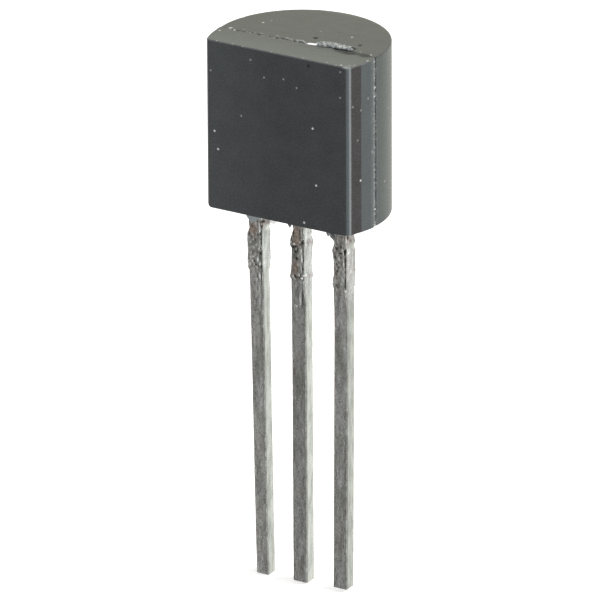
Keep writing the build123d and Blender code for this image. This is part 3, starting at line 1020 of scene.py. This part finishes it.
camera_right = Vector((0.851663, 0.524074, -0.004058)).normalized()
camera_back = Vector((0.488869, -0.791615, 0.366543)).normalized()
camera_up = camera_back.cross(camera_right)
camera_place = Vector((122.6220, -198.6524, 89.4786)) * MM
lens_data = bpy.data.cameras.new("camera")
lens_data.lens = 595.1
lens_data.sensor_width = 36.0
lens_data.clip_start = 0.01
lens_data.clip_end = 10.0
camera = bpy.data.objects.new("camera", lens_data)
turn = Matrix((camera_right, camera_up, camera_back)).transposed().to_4x4()
camera.matrix_world = Matrix.Translation(camera_place) @ turn
bpy.context.scene.collection.objects.link(camera)
bpy.context.scene.camera = camera


# Floor and light

part_middle = -3


def make_floor():
    """A plain pale sheet under the lead tips."""
    bm = bmesh.new()
    bmesh.ops.create_grid(bm, x_segments=1, y_segments=1, size=1.5)
    bmesh.ops.translate(bm, vec=(0, 0, cad_box[0][2] - 0.00001), verts=bm.verts)
    mesh = bpy.data.meshes.new("floor")
    bm.to_mesh(mesh)
    bm.free()
    floor = bpy.data.objects.new("floor", mesh)
    bpy.context.scene.collection.objects.link(floor)
    paper = bpy.data.materials.new("white_paper")
    paper.use_nodes = True
    sheet = paper.node_tree.nodes["Principled BSDF"]
    sheet.inputs["Base Color"].default_value = linear("#f4f4f2")
    sheet.inputs["Roughness"].default_value = 0.9
    sheet.inputs["Specular IOR Level"].default_value = 0.0
    sheet.inputs["Emission Color"].default_value = (1, 1, 1, 1)
    sheet.inputs["Emission Strength"].default_value = 0.35
    floor.data.materials.append(paper)
    floor.visible_glossy = False


def area_light(name, azimuth, elevation, distance, size, power, colour):
    """A soft square light that looks at the part's middle."""
    data = bpy.data.lights.new(name, "AREA")
    data.shape = "SQUARE"
    data.size = size * MM
    data.energy = power
    data.color = linear(colour)[:3]
    light = bpy.data.objects.new(name, data)
    a, e = radians(azimuth), radians(elevation)
    toward = Vector((cos(a) * cos(e), sin(a) * cos(e), sin(e)))
    light.location = Vector((0, 0, part_middle * MM)) + toward * distance * MM
    light.rotation_euler = toward.to_track_quat("Z", "Y").to_euler()
    light.visible_glossy = False
    light.visible_camera = False
    bpy.context.scene.collection.objects.link(light)


def studio(brightest):
    """The surroundings that the part mirrors, by compass direction below and above the horizon."""
    world = bpy.data.worlds.new("studio")
    bpy.context.scene.world = world
    world.use_nodes = True
    tree = world.node_tree
    tree.nodes.clear()
    low = (
        (-180, "#8c8c8a"),
        (-138, "#3b3c3b"),
        (-115, "#3b3c3b"),
        (-100, "#a8b4b8"),
        (-52, "#a8b4b8"),
        (-26, "#f6feff"),
        (-2, "#f6feff"),
        (12, "#573e3a"),
        (33, "#573e3a"),
        (40, "#96a5aa"),
        (60, "#8a918b"),
        (100, "#7f807a"),
        (125, "#85867f"),
        (180, "#8c8c8a"),
    )
    high = (
        (-180, "#7a7b78"),
        (-120, "#5c5d5c"),
        (-30, "#8b8d8d"),
        (40, "#8a8b88"),
        (125, "#828479"),
        (180, "#7a7b78"),
    )
    way = add(tree, "SeparateXYZ", {0: add(tree, "TexCoord").outputs["Generated"]})
    compass = add(tree, "Math", {0: way.outputs["Y"], 1: way.outputs["X"]}, operation="ARCTAN2")
    around = add(tree, "MapRange", {0: compass, 1: -pi, 2: pi})
    ramps = []
    for stops in (low, high):
        ramp = add(tree, "ValToRGB", {0: around})
        elements = ramp.color_ramp.elements
        while len(elements) < len(stops):
            elements.new(0.5)
        for element, (angle, colour) in zip(elements, stops):
            element.position = (angle + 180) / 360
            element.color = linear(colour)
        ramps.append(ramp)
    height = add(tree, "MapRange", {0: way.outputs["Z"], 1: -0.05, 2: 0.2})
    mirrored = add(tree, "Mix", {0: height, MIX_A: ramps[0], MIX_B: ramps[1]}, data_type="RGBA")
    path = add(tree, "LightPath")
    gloss = add(tree, "Background", {"Color": mirrored, "Strength": brightest})
    fill = add(tree, "Background", {"Color": linear("#fbfcff"), "Strength": 0.8})
    page = add(tree, "Background", {"Color": linear("#f8f8f8"), "Strength": 1.0})
    lit = add(tree, "MixShader", {0: path.outputs["Is Glossy Ray"], 1: fill, 2: gloss})
    seen = add(tree, "MixShader", {0: path.outputs["Is Camera Ray"], 1: lit, 2: page})
    add(tree, "OutputWorld", {"Surface": seen})


make_floor()
studio(brightest=4.0)
area_light("right_window", azimuth=20, elevation=45, distance=260, size=140, power=0.6, colour="#fff2ee")
bpy.context.scene.view_settings.view_transform = "Standard"
